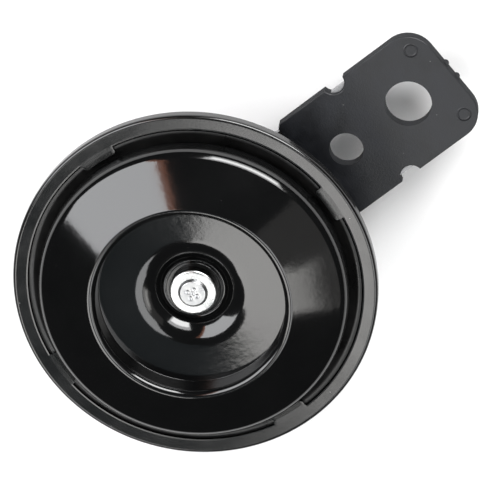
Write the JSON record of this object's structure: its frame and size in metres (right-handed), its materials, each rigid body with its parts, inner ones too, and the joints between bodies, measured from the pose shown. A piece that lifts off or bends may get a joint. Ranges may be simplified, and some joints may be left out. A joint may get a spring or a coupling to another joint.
{
  "type": "car horn",
  "caption": "Round electric disc horn with a black dished tone disc, a crimped rim and a flat sleeved mounting strap with two bolt holes.",
  "frame": {"origin": "centre of the strap's large bolt hole, half way through the sleeve", "axes": "+Z along the bolt hole and the horn's sound axis, towards the mouth; +X along the strap, away from the horn"},
  "size_m": [0.0969, 0.07, 0.0378],
  "materials": {
    "ring_paint": "satin black paint with a fine texture",
    "black_enamel": "glossy black paint with a slight orange peel",
    "housing_paint": "semi-gloss black paint",
    "bright_zinc": "bright zinc plate, peened in the middle",
    "plain_zinc": "zinc plate",
    "strap_zinc": "dull zinc-plated sheet",
    "plain_steel": "bare steel",
    "sleeve_plastic": "matte charcoal moulded plastic, slightly mottled",
    "bobbin_plastic": "moulded nylon",
    "bakelite": "brown phenolic board",
    "fibre_board": "vulcanised fibre",
    "gasket_paper": "gasket paper",
    "copper_wire": "enamelled copper wire",
    "contact_brass": "spring brass",
    "terminal_brass": "tinned brass",
    "contact_tungsten": "tungsten"
  },
  "bodies": {
    "root": {"crimp_ring": "ring_paint", "front_gasket": "gasket_paper", "diaphragm": "black_enamel", "rear_gasket": "gasket_paper", "rear_housing": "housing_paint", "tone_disc": "black_enamel", "hub_washer": "black_enamel", "hub_collar": "bright_zinc", "disc_spacer": "plain_steel", "backing_washer": "plain_steel", "armature": "plain_steel", "armature_stud": "bright_zinc", "magnet_core": "plain_zinc", "coil_bobbin": "bobbin_plastic", "coil_winding": "copper_wire", "lower_contact_insulator": "fibre_board", "middle_contact_insulator": "fibre_board", "upper_contact_insulator": "fibre_board", "fixed_contact_arm": "contact_brass", "moving_contact_arm": "contact_brass", "contact_points": "contact_tungsten", "contact_rivets": "plain_steel", "adjusting_screw": "plain_zinc", "adjusting_bush": "plain_steel", "adjusting_lock_nut": "plain_zinc", "terminal_plate": "bakelite", "terminal_insulator": "fibre_board", "terminal_blade_left": "terminal_brass", "terminal_blade_right": "terminal_brass", "terminal_rivets": "terminal_brass", "terminal_lead": "copper_wire", "bracket_strap": "strap_zinc", "bracket_sleeve": "sleeve_plastic", "bracket_lock_washer": "plain_zinc", "bracket_nut": "plain_zinc"}
  },
  "joints": []
}
